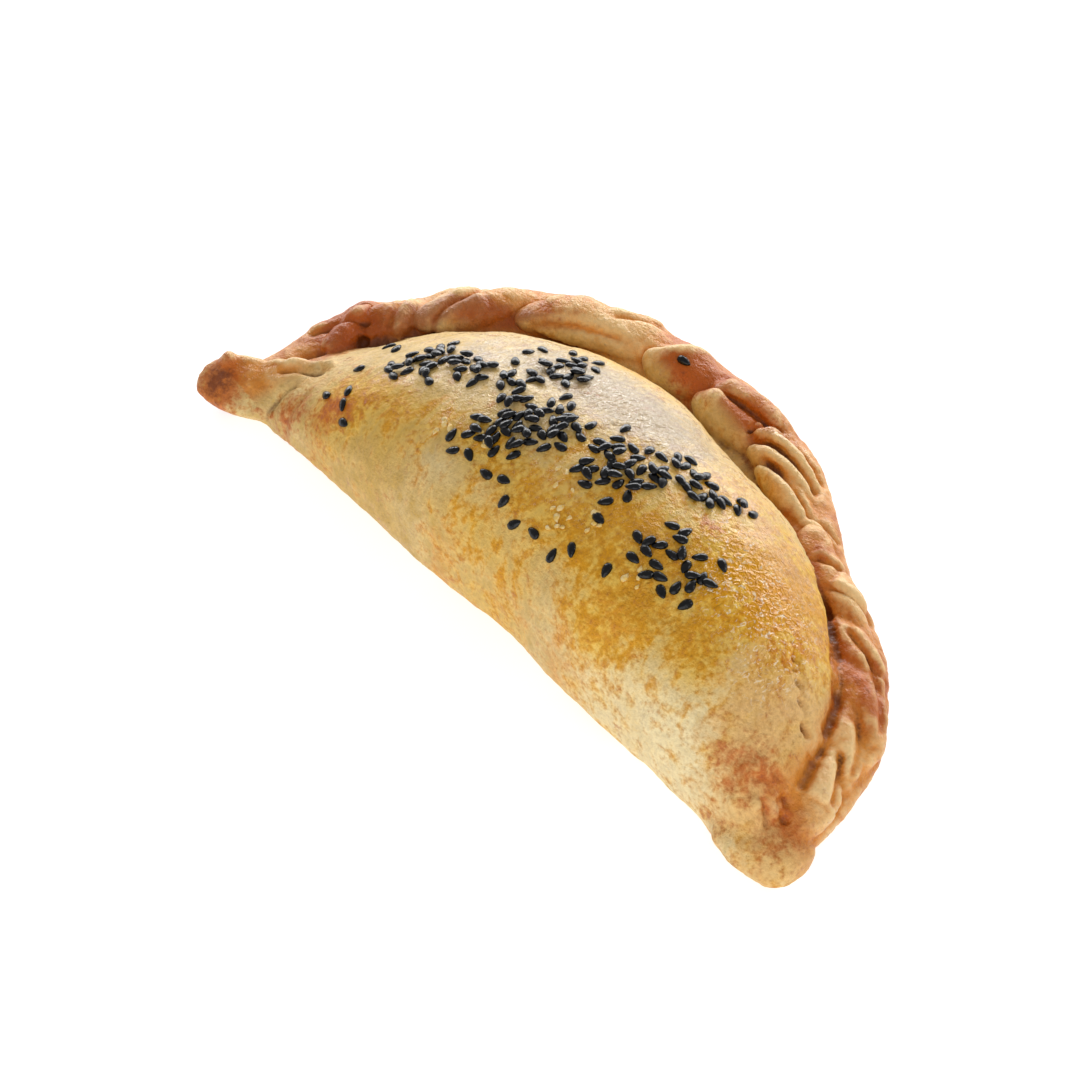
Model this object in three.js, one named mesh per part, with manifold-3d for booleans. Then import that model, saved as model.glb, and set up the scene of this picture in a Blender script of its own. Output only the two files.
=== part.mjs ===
// A baked half-moon turnover: a domed pastry pocket, a rim rolled into a rope of overlapping
// tongues of dough, two pinched corners, and black sesame seeds stuck in the glaze on top.
// Millimetres, +Z up. The fold runs along X and faces -Y, and the roped rim faces +Y.
import * as THREE from "three";
import { mergeVertices } from "three/addons/utils/BufferGeometryUtils.js";
import Module from "manifold-3d";

const wasm = await Module();
wasm.setup();

// The shape is drawn from the middle of the fold, and then set over the middle of its footprint.
const FOOTPRINT_MIDDLE = new THREE.Vector2(0.61, 35.85);

// The pocket, which the filling has swollen into a dome.
const POCKET_HALF_LENGTH = 75;
const POCKET_DEPTH = 59.5;
const POCKET_HEIGHT = 33;
const POCKET_DEPTH_POWER = 1.1;
const POCKET_HEIGHT_POWER = 1.05;
const POCKET_HEIGHT_LEAN = 0.24; // how much fuller the near end is than the far end
const POCKET_WAVES = [
  { share: 0.085, at: 0.87, spread: 0.16 }, // deeper beside the near corner, by share of the half length
  { share: -0.055, at: 0.2, spread: 0.2 },
];
const FAR_DIP = { share: 0.3, at: -0.9, spread: 0.24 }; // lower towards the far corner
const FOLD_SETBACK = 0.4;
const FOLD_SWING = 2.2; // how much further the fold swings back close to the near end
const FOLD_SWING_POWER = 5;
const FOLD_WAVES = [
  { share: -0.4, at: -0.18, spread: 0.09 }, // a fuller place in the fold, in millimetres
  { share: 1.2, at: 0.1, spread: 0.15 }, // a hollow beside it
];
const SECTION_WAIST = 0.3; // share of the height where a section is deepest
const SECTION_BACK_WAIST = 0.2; // the same at the back of the pocket
const SECTION_UNDERCUT = 0.12; // share of the height that the tray flattens off
const SECTION_CROWN_BACK = 1.25; // over 1 brings the crown nearer the fold
const SECTION_UNDER_POWER = 0.7;
const POCKET_AROUND = 24;
const POCKET_ALONG = 34;

// The lower sheet of dough, flat on the tray under the pocket.
const BASE_HALF_LENGTH = 68;
const BASE_FRONT = 5;
const BASE_DEPTH = 66;
const BASE_HALF_HEIGHT = 2.2;
const BASE_AROUND = 8;
const BASE_ALONG = 24;

// The rim is the edge of the dough disc, a little uneven after crimping.
const RIM_HALF_LENGTH = 79.5;
const RIM_DEPTH = 77;
const RIM_WAVES = [
  { share: 0.012, at: 25, spread: 8 },
  { share: -0.092, at: 58, spread: 17 },
  { share: 0.046, at: 120, spread: 18 },
  { share: -0.04, at: 172, spread: 7 },
];

// The rolled bed of the rope, under its tongues.
const BED_FROM = 2;
const BED_TO = 179;
const BED_HALF_WIDTH = 7;
const BED_HALF_HEIGHT = 4.8;
const BED_MIDDLE_HEIGHT = 4.5;
const BED_END_POWER = 0.16; // under 1 keeps the bed full until close to its ends
const BED_WAVES = [
  { share: 0.08, at: 140, spread: 17 }, // a thicker roll at the rear
  { share: -0.4, at: 173, spread: 15 }, // lying flatter by the far corner
];
const BED_AROUND = 10;
const BED_ALONG = 44;

// The pressed seam of dough that joins the pocket to the rope all along.
const SEAM_HALF_WIDTH = 9;
const SEAM_INSET = 14;
const SEAM_MIDDLE_HEIGHT = 1.5;
const SEAM_HALF_HEIGHT = 6.4;
const SEAM_WAVES = [
  { share: 0.5, at: 22, spread: 15 }, // pressed up beside the near corner
  { share: -0.5, at: 58, spread: 14 }, // a deep crevice
  { share: -0.4, at: 115, spread: 34 },
];
const SEAM_AROUND = 8;
const SEAM_ALONG = 30;

// Each tongue of the rope starts beside the pocket and runs outwards over the bed.
// from and to are degrees along the rim from the near corner, inner and outer the insets of the
// two ends, and point says how much the head tapers.
const TONGUES = [
  { from: 20, to: 5, inner: 7.6, outer: 3.8, halfWidth: 5.6, point: 0.4 },
  { from: 28.5, to: 14, inner: 10.2, outer: 4.2, halfWidth: 5.8, point: 0.4 },
  { from: 38, to: 19, inner: 8.8, outer: 3.6, halfWidth: 6.2, point: 0.3 },
  { from: 45, to: 28, inner: 8.4, outer: 3.4, halfWidth: 4.8, point: 0 },
  { from: 63, to: 36, inner: 6.8, outer: 4.8, halfWidth: 4.4, point: 0 },
  { from: 79, to: 60, inner: 13.4, outer: 4, halfWidth: 2.9, point: 0 },
  { from: 83, to: 67, inner: 12.6, outer: 4, halfWidth: 2.7, point: 0 },
  { from: 86, to: 71, inner: 9.4, outer: 3.8, halfWidth: 2.7, point: 0 },
  { from: 97, to: 82, inner: 13, outer: 10.4, halfWidth: 3.4, point: 0 },
  { from: 97, to: 81, inner: 8.6, outer: 3.8, halfWidth: 3.4, point: 0 },
  { from: 109, to: 91, inner: 10.8, outer: 6, halfWidth: 5, point: 0 },
  { from: 131, to: 100, inner: 10.6, outer: 6, halfWidth: 5.2, point: 0 },
  { from: 148, to: 126, inner: 9.6, outer: 5, halfWidth: 4.4, point: 0 },
  { from: 157, to: 144, inner: 9.6, outer: 5, halfWidth: 4.2, point: 0 },
  { from: 164, to: 153, inner: 9.6, outer: 5, halfWidth: 3.4, point: 0 },
];
const TONGUE_HALF_HEIGHT = 3.4;
const TONGUE_HEAD_GIRTH = 1.15;
const TONGUE_TAIL_GIRTH = 0.85;
const TONGUE_HEAD_LEVEL = 9.2;
const TONGUE_TAIL_LEVEL = 6.8;
const TONGUE_AROUND = 8;
const TONGUE_ALONG = 7;

// The two corners, where the fold meets the rim, each with a web of dough towards the pocket.
// lean is how far the crest stands back.
const CORNERS = [
  { x: 71.5, y: 6, z: 4.2, halfLength: 9.2, halfWidth: 7.2, halfHeight: 5.2, heading: 0, lean: 0 },
  { x: 67.4, y: 18.6, z: 5, halfLength: 11.6, halfWidth: 5.4, halfHeight: 6.4, heading: -61, lean: 0 },
  { x: -68.2, y: 2.4, z: 4.3, halfLength: 11.8, halfWidth: 5.6, halfHeight: 4.4, heading: 27, lean: 2.4 },
  { x: -61, y: 8, z: 5, halfLength: 10, halfWidth: 5.8, halfHeight: 5.6, heading: 26, lean: 2 },
];
const CORNER_BLUNT = 0.65; // under 1 keeps a corner full until close to its ends
const CORNER_AROUND = 12;
const CORNER_ALONG = 10;

// Sesame seeds. x, y, along and across give the middle and the spread of a clump or a trail.
const SEED_LENGTH = 3;
const SEED_WIDTH = 1.75;
const SEED_THICKNESS = 1;
const SEED_LIFT = 0.12; // how far a seed's middle stands above the crust
const SEED_PILE = 0.4; // how much higher it stands for each seed it lies against, up to two
const PILE_REACH = 2.1;
const CLUMP_SPACING = 1.6;
const TRAIL_SPACING = 3.2;
const SEED_TAPER = 0.3; // how much slimmer a seed is towards its point
const SEED_REACH = 1.8; // the furthest a seed falls from the middle of its row, in spreads
const SEED_TRIES = 30;
const SEED_DRAW = 11;
const DRAW_FACTOR = 1664525;
const DRAW_STEP = 1013904223;
const DRAW_RANGE = 2 ** 32;
const SEED_AROUND = 5;
const SEED_ALONG = 3;
const CLUMPS = [
  { x: -40, y: 20, along: 2.4, across: 2.6, turn: 35, count: 11 },
  { x: -35, y: 23.5, along: 2.6, across: 4, turn: 37, count: 16 },
  { x: -29, y: 25.5, along: 2.2, across: 3.2, turn: 40, count: 9 },
  { x: -18.5, y: 38, along: 4.6, across: 4, turn: 55, count: 24 },
  { x: -17, y: 27, along: 2.4, across: 2.8, turn: 45, count: 9 },
  { x: -13, y: 22, along: 1.4, across: 1.6, turn: 45, count: 4 },
  { x: -7.5, y: 27, along: 2.6, across: 2.4, turn: 50, count: 9 },
  { x: -3, y: 24, along: 3, across: 2.6, turn: 55, count: 16 },
  { x: -8, y: 18, along: 2.4, across: 2.6, turn: 45, count: 13 },
  { x: -13.5, y: 15.5, along: 1.6, across: 2, turn: 40, count: 5 },
  { x: 8.5, y: 22.3, along: 1.8, across: 2.4, turn: 50, count: 10 },
  { x: 9, y: 28.5, along: 2.8, across: 2, turn: 55, count: 8 },
  { x: 15.5, y: 27, along: 2.4, across: 2.4, turn: 50, count: 14 },
  { x: 14, y: 36, along: 2.4, across: 2, turn: 60, count: 4 },
  { x: 20.5, y: 33, along: 2.8, across: 2.4, turn: 55, count: 9 },
  { x: 25.5, y: 34.5, along: 1.8, across: 1.6, turn: 50, count: 4 },
  { x: 29, y: 37.5, along: 1.9, across: 1.4, turn: 45, count: 5 },
  { x: 28.5, y: 20.5, along: 3, across: 1.8, turn: 50, count: 5 },
  { x: 31, y: 16.5, along: 2, across: 1.6, turn: 50, count: 5 },
  { x: 35, y: 21, along: 1.2, across: 1.6, turn: 50, count: 3 },
  { x: 38, y: 17.5, along: 2.4, across: 1.8, turn: 45, count: 7 },
];
const TRAILS = [
  { x: -44, y: 7.5, along: 5, across: 3, turn: 30, count: 4 },
  { x: -50, y: 14.5, along: 0.4, across: 0.4, turn: 0, count: 1 },
  { x: -10, y: 10, along: 7, across: 1.2, turn: -5, count: 6 },
  { x: 15, y: 8.6, along: 7, across: 1, turn: 10, count: 5 },
  { x: 17, y: 17, along: 4, across: 0.7, turn: 90, count: 3 },
  { x: 27.5, y: 15, along: 1, across: 2, turn: 40, count: 2 },
  { x: 3, y: 32, along: 2.4, across: 0.8, turn: 55, count: 2 },
  { x: 38, y: 25, along: 0.4, across: 0.4, turn: 0, count: 1 },
  { x: -51, y: 24, along: 1.5, across: 0.6, turn: 0, count: 2 },
  { x: -15, y: 67, along: 0.1, across: 0.1, turn: 0, count: 1 },
];

const CRUST_COLOUR = 0xd9a25a;
const CRUST_ROUGHNESS = 0.5;
const TRAY_CUT_SIZE = 400;
const MERGE_DISTANCE = 1e-4;

const degrees = THREE.MathUtils.degToRad;

// A smooth hump of height 1 round one place.
function hump(place, at, spread) {
  return Math.exp(-(((place - at) / spread) ** 2));
}

// How much fuller or slimmer something is at one place.
function waves(list, place) {
  return list.reduce((swell, { share, at, spread }) => swell + share * hump(place, at, spread), 1);
}

// A closed skin: a sphere whose rows run from the -X pole to the +X pole, moved point by point.
// place gets the angle from the -X pole, its sine, and the angle round X from -Y over the top.
function skin(around, along, place) {
  const sphere = new THREE.SphereGeometry(1, around, along);
  const positions = sphere.attributes.position;
  for (let i = 0; i < positions.count; i++) {
    const row = Math.floor(i / (around + 1));
    const column = i % (around + 1);
    const turn = (Math.PI * row) / along;
    const girth = row % along === 0 ? 0 : Math.sin(turn);
    const placed = place(turn, girth, (2 * Math.PI * (column % around)) / around);
    positions.setXYZ(i, placed.x, placed.y, placed.z);
  }
  return solidOf(sphere);
}

function solidOf(geometry) {
  geometry.deleteAttribute("normal");
  geometry.deleteAttribute("uv");
  const merged = mergeVertices(geometry, MERGE_DISTANCE);
  const solid = new wasm.Manifold(
    new wasm.Mesh({
      numProp: 3,
      vertProperties: new Float32Array(merged.attributes.position.array),
      triVerts: new Uint32Array(merged.index.array),
    }),
  );
  if (solid.volume() < 0) {
    throw new Error("a skin is inside out");
  }
  return solid;
}

// Length, depth and height of the pocket at one station between its two tips.
function pocketStation(turn, girth) {
  const reach = -Math.cos(turn);
  const swing = FOLD_SWING * ((1 + reach) / 2) ** FOLD_SWING_POWER;
  const lean = 1 + POCKET_HEIGHT_LEAN * reach - FAR_DIP.share * hump(reach, FAR_DIP.at, FAR_DIP.spread);
  return {
    x: POCKET_HALF_LENGTH * reach,
    back: POCKET_DEPTH * waves(POCKET_WAVES, reach) * girth ** POCKET_DEPTH_POWER,
    front: (FOLD_SETBACK + swing + waves(FOLD_WAVES, reach) - 1) * Math.sqrt(girth),
    height: POCKET_HEIGHT * girth ** POCKET_HEIGHT_POWER * lean,
  };
}

// A section of the pocket: spin 0 is the fold, a quarter turn the crown, half a turn the back.
function pocketSection(spin) {
  const rise = Math.sin(spin);
  const depth = ((1 - Math.cos(spin)) / 2) ** SECTION_CROWN_BACK;
  const waist = THREE.MathUtils.lerp(SECTION_WAIST, SECTION_BACK_WAIST, depth ** 2);
  if (rise >= 0) {
    return { depth, height: waist + (1 - waist) * rise };
  }
  const under = Math.abs(rise) ** SECTION_UNDER_POWER;
  return { depth, height: waist - (waist + SECTION_UNDERCUT) * under };
}

function makePocket() {
  return skin(POCKET_AROUND, POCKET_ALONG, (turn, girth, spin) => {
    const station = pocketStation(turn, girth);
    const section = pocketSection(spin);
    const y = THREE.MathUtils.lerp(station.front, station.back, section.depth);
    return new THREE.Vector3(station.x, y, station.height * section.height);
  });
}

function makeBase() {
  return skin(BASE_AROUND, BASE_ALONG, (turn, girth, spin) => {
    const depth = (1 - Math.cos(spin)) / 2;
    return new THREE.Vector3(
      -BASE_HALF_LENGTH * Math.cos(turn),
      girth * THREE.MathUtils.lerp(BASE_FRONT, BASE_DEPTH, depth),
      girth * BASE_HALF_HEIGHT * Math.sin(spin),
    );
  });
}

// A point of the rim, at an angle in degrees and some way in from its outer edge.
function rimPoint(angle, inset, height) {
  const swell = waves(RIM_WAVES, angle);
  const across = Math.cos(degrees(angle));
  const deep = Math.sin(degrees(angle));
  const outward = new THREE.Vector2(across / RIM_HALF_LENGTH, deep / RIM_DEPTH).normalize();
  return new THREE.Vector3(
    RIM_HALF_LENGTH * swell * across - inset * outward.x,
    RIM_DEPTH * swell * deep - inset * outward.y,
    height,
  );
}

function makeBed() {
  return skin(BED_AROUND, BED_ALONG, (turn, girth, spin) => {
    const angle = THREE.MathUtils.lerp(BED_FROM, BED_TO, turn / Math.PI);
    const full = girth ** BED_END_POWER;
    const inset = BED_HALF_WIDTH * full * (1 - Math.cos(spin));
    const height = BED_MIDDLE_HEIGHT + BED_HALF_HEIGHT * full * Math.sin(spin);
    return rimPoint(angle, inset, height * waves(BED_WAVES, angle));
  });
}

function makeSeam() {
  return skin(SEAM_AROUND, SEAM_ALONG, (turn, girth, spin) => {
    const angle = THREE.MathUtils.lerp(BED_FROM, BED_TO, turn / Math.PI);
    const full = girth ** BED_END_POWER;
    const inset = SEAM_INSET - SEAM_HALF_WIDTH * full * Math.cos(spin);
    const height = SEAM_MIDDLE_HEIGHT + SEAM_HALF_HEIGHT * full * Math.sin(spin);
    return rimPoint(angle, inset, height * waves(SEAM_WAVES, angle));
  });
}

function makeTongue({ from, to, inner, outer, halfWidth, point }) {
  return skin(TONGUE_AROUND, TONGUE_ALONG, (turn, girth, spin) => {
    const along = (1 - Math.cos(turn)) / 2;
    const angle = THREE.MathUtils.lerp(from, to, along);
    const fat = THREE.MathUtils.lerp(TONGUE_HEAD_GIRTH, TONGUE_TAIL_GIRTH, along);
    const full = fat * girth ** (1 + point * (1 - along));
    const level = THREE.MathUtils.lerp(TONGUE_HEAD_LEVEL, TONGUE_TAIL_LEVEL, along);
    const inset = THREE.MathUtils.lerp(inner, outer, along) + halfWidth * full * Math.cos(spin);
    const height = level + TONGUE_HALF_HEIGHT * full * Math.sin(spin);
    return rimPoint(angle, inset, height * waves(BED_WAVES, angle));
  });
}

function makeCorner({ x, y, z, halfLength, halfWidth, halfHeight, heading, lean }) {
  return skin(CORNER_AROUND, CORNER_ALONG, (turn, girth, spin) => {
    const full = girth ** CORNER_BLUNT;
    const back = lean * Math.max(Math.sin(spin), 0);
    const point = new THREE.Vector3(
      -halfLength * Math.cos(turn),
      full * (back - halfWidth * Math.cos(spin)),
      full * halfHeight * Math.sin(spin),
    );
    point.applyAxisAngle(new THREE.Vector3(0, 0, 1), degrees(heading));
    return point.add(new THREE.Vector3(x, y, z));
  });
}

// Everything below the tray is cut off, which leaves the flat base.
function cutByTray(solid) {
  const box = new THREE.BoxGeometry(TRAY_CUT_SIZE, TRAY_CUT_SIZE, TRAY_CUT_SIZE);
  box.translate(0, 0, -TRAY_CUT_SIZE / 2);
  return solid.subtract(solidOf(box));
}

function makePastry() {
  let pastry = makePocket().add(makeBase()).add(makeBed()).add(makeSeam());
  for (const corner of CORNERS) {
    pastry = pastry.add(makeCorner(corner));
  }
  for (const tongue of TONGUES) {
    pastry = pastry.add(makeTongue(tongue));
  }
  return outerShell(cutByTray(pastry));
}

// The same run of chance numbers from 0 to 1 every time.
function chance(start) {
  let state = start;
  return () => {
    state = (Math.imul(state, DRAW_FACTOR) + DRAW_STEP) >>> 0;
    return state / DRAW_RANGE;
  };
}

// Where seeds fall in plan, and which way each one lies. A seed too close to another falls again.
function scatter(rows, spacing, draw, seeds) {
  for (const row of rows) {
    const heading = degrees(row.turn);
    for (let i = 0; i < row.count; i++) {
      for (let attempt = 0; attempt < SEED_TRIES; attempt++) {
        const far = Math.min(SEED_REACH, Math.sqrt(-2 * Math.log(1 - draw())));
        const way = 2 * Math.PI * draw();
        const yaw = 2 * Math.PI * draw();
        const along = row.along * far * Math.cos(way);
        const across = row.across * far * Math.sin(way);
        const x = row.x + along * Math.cos(heading) - across * Math.sin(heading);
        const y = row.y + along * Math.sin(heading) + across * Math.cos(heading);
        if (seeds.every((other) => Math.hypot(other.x - x, other.y - y) > spacing)) {
          seeds.push({ x, y, yaw });
          break;
        }
      }
    }
  }
}

// All seeds, the stray ones first. A seed lies higher against those that fell before it.
function fallSeeds() {
  const draw = chance(SEED_DRAW);
  const seeds = [];
  scatter(TRAILS, TRAIL_SPACING, draw, seeds);
  scatter(CLUMPS, CLUMP_SPACING, draw, seeds);
  return seeds.map((seed, number) => {
    const earlier = seeds.slice(0, number);
    const under = earlier.filter(({ x, y }) => Math.hypot(x - seed.x, y - seed.y) < PILE_REACH);
    return { ...seed, lift: SEED_LIFT + SEED_PILE * Math.min(under.length, 2) };
  });
}

// One teardrop seed, lying on the crust where a line straight down meets it.
function makeSeed({ x, y, yaw, lift }, crustMesh) {
  const above = new THREE.Vector3(x, y, 2 * POCKET_HEIGHT);
  const [hit] = new THREE.Raycaster(above, new THREE.Vector3(0, 0, -1)).intersectObject(crustMesh);
  const up = hit.face.normal.clone();
  const long = new THREE.Vector3(Math.cos(yaw), Math.sin(yaw), 0).projectOnPlane(up).normalize();
  const wide = new THREE.Vector3().crossVectors(up, long);
  const middle = hit.point.clone().addScaledVector(up, lift);
  return skin(SEED_AROUND, SEED_ALONG, (turn, girth, spin) => {
    const full = girth * (1 + SEED_TAPER * Math.cos(turn));
    return middle
      .clone()
      .addScaledVector(long, (-SEED_LENGTH / 2) * Math.cos(turn))
      .addScaledVector(wide, (-SEED_WIDTH / 2) * full * Math.cos(spin))
      .addScaledVector(up, (SEED_THICKNESS / 2) * full * Math.sin(spin));
  });
}

// The outer shell alone: gaps shut in between the pieces of dough are filled.
function outerShell(solid) {
  const shells = solid.decompose();
  return shells.reduce((largest, shell) => (shell.volume() > largest.volume() ? shell : largest));
}

function sowSeeds(pastry) {
  const crustMesh = new THREE.Mesh(geometryOf(pastry));
  let sown = pastry;
  for (const seed of fallSeeds()) {
    sown = sown.add(makeSeed(seed, crustMesh));
  }
  return outerShell(sown);
}

function geometryOf(solid) {
  const { vertProperties, triVerts, numProp } = solid.getMesh();
  const geometry = new THREE.BufferGeometry();
  const buffer = new THREE.InterleavedBuffer(vertProperties, numProp);
  geometry.setAttribute("position", new THREE.InterleavedBufferAttribute(buffer, 3, 0));
  geometry.setIndex(new THREE.BufferAttribute(triVerts, 1));
  geometry.computeVertexNormals();
  return geometry;
}

const crust = new THREE.MeshStandardMaterial({ color: CRUST_COLOUR, roughness: CRUST_ROUGHNESS });

const empanada = new THREE.Mesh(geometryOf(sowSeeds(makePastry())), crust);
empanada.name = "empanada";
empanada.position.set(-FOOTPRINT_MIDDLE.x, -FOOTPRINT_MIDDLE.y, 0);

const part = new THREE.Group();
part.add(empanada);

export default part;
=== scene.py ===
# %% [markdown]
# # A baked empanada
# The real thing is one disc of dough, folded over a filling and sealed by rolling its edge into
# a rope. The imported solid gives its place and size, and this lesson rebuilds it as a fine skin:
# a swollen pocket, a rope of tongues, two pinched corners, a crust finish, seeds and crumbs.

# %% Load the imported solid
import math
from types import SimpleNamespace

import bpy
import numpy as np
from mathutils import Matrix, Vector
from mathutils.bvhtree import BVHTree


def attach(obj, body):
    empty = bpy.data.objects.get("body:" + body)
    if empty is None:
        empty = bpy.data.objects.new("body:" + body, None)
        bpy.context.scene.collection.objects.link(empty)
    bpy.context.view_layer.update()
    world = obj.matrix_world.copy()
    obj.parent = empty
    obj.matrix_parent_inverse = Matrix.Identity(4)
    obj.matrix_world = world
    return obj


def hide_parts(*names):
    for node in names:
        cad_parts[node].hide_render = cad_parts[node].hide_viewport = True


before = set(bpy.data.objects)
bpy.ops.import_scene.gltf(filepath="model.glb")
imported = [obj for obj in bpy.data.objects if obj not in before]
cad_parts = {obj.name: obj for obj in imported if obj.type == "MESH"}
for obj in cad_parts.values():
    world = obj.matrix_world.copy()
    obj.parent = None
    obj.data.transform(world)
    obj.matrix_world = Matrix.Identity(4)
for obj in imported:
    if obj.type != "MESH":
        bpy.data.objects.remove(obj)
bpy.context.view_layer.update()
MM = 0.001

# %% [markdown]
# ## The camera
# The photograph looks down on the near corner with a long lens. Azimuth and elevation are where
# the camera stands, and the aim is a point on the pocket. The aim isn't in the middle of the
# picture, so a small shift moves it there.

# %% Aim the camera
CAMERA_AZIMUTH = math.radians(49.72)
CAMERA_ELEVATION = math.radians(49.37)
CAMERA_DISTANCE = 467.3 * MM
CAMERA_LENS = 85.92
CAMERA_AIM = Vector((-0.61, -23.85, 15)) * MM
CAMERA_SHIFT = (0.0213, -0.0033)


def aim_camera():
    level = math.cos(CAMERA_ELEVATION)
    back = Vector((
        math.sin(CAMERA_AZIMUTH) * level,
        -math.cos(CAMERA_AZIMUTH) * level,
        math.sin(CAMERA_ELEVATION),
    ))
    data = bpy.data.cameras.new("photo_camera")
    data.lens = CAMERA_LENS
    data.shift_x, data.shift_y = CAMERA_SHIFT
    camera = bpy.data.objects.new("photo_camera", data)
    bpy.context.scene.collection.objects.link(camera)
    camera.location = CAMERA_AIM + back * CAMERA_DISTANCE
    camera.rotation_euler = (-back).to_track_quat("-Z", "Y").to_euler()
    bpy.context.scene.camera = camera
    return camera


camera = aim_camera()
print("camera stands at, mm:", [round(part / MM) for part in camera.location])

# %% [markdown]
# ## One way to make every roll of dough
# The pocket, the rolled edge, each tongue and each corner are all closed bags of dough, fat in
# the middle and shut at two ends. Extruding rings would make them too, but a ball already is such
# a bag: its rows run from one pole to the other. So each piece starts as a UV sphere, and a rule
# moves its points to where the dough lies. Lengths in the rules are millimetres from the middle
# of the fold.

# %% A closed skin from a sphere
FOLD_MIDDLE = np.array((0.61, 35.85, 0.0))


def points_of(piece):
    flat = np.empty(len(piece.data.vertices) * 3)
    piece.data.vertices.foreach_get("co", flat)
    return flat.reshape(-1, 3)


def set_points(piece, points):
    piece.data.vertices.foreach_set("co", np.asarray(points, dtype=float).ravel())
    piece.data.update()


def fold_places(piece):
    return points_of(piece) / MM + FOLD_MIDDLE


def choose(*pieces):
    bpy.ops.object.select_all(action="DESELECT")
    for piece in pieces:
        piece.select_set(True)
    bpy.context.view_layer.objects.active = pieces[0]


def face_outwards(piece):
    choose(piece)
    bpy.ops.object.mode_set(mode="EDIT")
    bpy.ops.mesh.select_all(action="SELECT")
    bpy.ops.mesh.normals_make_consistent(inside=False)
    bpy.ops.object.mode_set(mode="OBJECT")


def dough_skin(name, around, along, place):
    bpy.ops.object.select_all(action="DESELECT")
    bpy.ops.mesh.primitive_uv_sphere_add(segments=around, ring_count=along, radius=1)
    piece = bpy.context.object
    piece.name = name
    ball = points_of(piece)
    turn = np.arccos(np.clip(ball[:, 2], -1, 1))
    girth = np.hypot(ball[:, 0], ball[:, 1])
    spin = np.arctan2(ball[:, 1], ball[:, 0])
    placed = np.stack(np.broadcast_arrays(*place(turn, girth, spin)), axis=1)
    set_points(piece, (placed - FOLD_MIDDLE) * MM)
    face_outwards(piece)
    return piece


def hump(place, at, spread):
    return np.exp(-(((place - at) / spread) ** 2))


def waves(table, place):
    return 1 + sum(share * hump(place, at, spread) for share, at, spread in table)


print("skins are drawn from the fold, mm off the footprint's middle:", FOLD_MIDDLE[:2])

# %% [markdown]
# ## The pocket
# The filling swells the folded disc into a dome that is steeper at the fold, so its crown lies
# nearer the fold than the rope, and it is fuller towards the near corner. A section is a letter D
# on its back. The same section, scaled at each station by its depth and height, makes the dome.
# Under it lies the lower sheet of the dough, a flat bag that closes the underside.

# %% Make the pocket
POCKET_HALF_LENGTH = 75
POCKET_DEPTH = 59.5
POCKET_HEIGHT = 33
POCKET_DEPTH_POWER = 1.1
POCKET_HEIGHT_POWER = 1.05
POCKET_HEIGHT_LEAN = 0.24
POCKET_WAVES = ((0.085, 0.87, 0.16), (-0.055, 0.2, 0.2))
FAR_DIP = (0.3, -0.9, 0.24)
FOLD_SETBACK = 0.4
FOLD_SWING = 2.2
FOLD_SWING_POWER = 5
FOLD_WAVES = ((-0.4, -0.18, 0.09), (1.2, 0.1, 0.15))
SECTION_WAIST = 0.3
SECTION_BACK_WAIST = 0.2
SECTION_UNDERCUT = 0.12
SECTION_CROWN_BACK = 1.25
SECTION_UNDER_POWER = 0.7


def pocket_station(reach, girth):
    fuller = waves(POCKET_WAVES, reach)
    swing = FOLD_SWING * ((1 + reach) / 2) ** FOLD_SWING_POWER
    front = (FOLD_SETBACK + swing + waves(FOLD_WAVES, reach) - 1) * np.sqrt(girth)
    back = POCKET_DEPTH * fuller * girth**POCKET_DEPTH_POWER
    lean = 1 + POCKET_HEIGHT_LEAN * reach - FAR_DIP[0] * hump(reach, *FAR_DIP[1:])
    return front, back, POCKET_HEIGHT * girth**POCKET_HEIGHT_POWER * lean


def place_pocket(turn, girth, spin):
    reach = -np.cos(turn)
    front, back, height = pocket_station(reach, girth)
    rise = np.sin(spin)
    depth = ((1 - np.cos(spin)) / 2) ** SECTION_CROWN_BACK
    waist = SECTION_WAIST + (SECTION_BACK_WAIST - SECTION_WAIST) * depth**2
    over = waist + (1 - waist) * rise
    under = waist - (waist + SECTION_UNDERCUT) * np.abs(rise) ** SECTION_UNDER_POWER
    level = np.where(rise >= 0, over, under)
    return POCKET_HALF_LENGTH * reach, front + (back - front) * depth, height * level


BASE_HALF_LENGTH = 68
BASE_FRONT = 5
BASE_DEPTH = 66
BASE_HALF_HEIGHT = 2.2


def place_base(turn, girth, spin):
    depth = (1 - np.cos(spin)) / 2
    y = girth * (BASE_FRONT + (BASE_DEPTH - BASE_FRONT) * depth)
    return -BASE_HALF_LENGTH * np.cos(turn), y, girth * BASE_HALF_HEIGHT * np.sin(spin)


# Points around and along a skin
POCKET_MESH = (160, 200)
BASE_MESH = (60, 100)
pocket = dough_skin("pocket", *POCKET_MESH, place_pocket)
base = dough_skin("base", *BASE_MESH, place_base)
print("pocket, mm:", [round(side / MM, 1) for side in pocket.dimensions])

# %% [markdown]
# ## The rope
# The edge of the disc was rolled inwards, pinch by pinch. That leaves a rolled bed all round the
# rim, a pressed seam between it and the pocket, and on the bed a row of tongues: each starts high
# beside the pocket and runs outwards and down, over the one before. Places on the rim are angles
# in degrees from the near corner, and insets from its outer edge.

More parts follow.
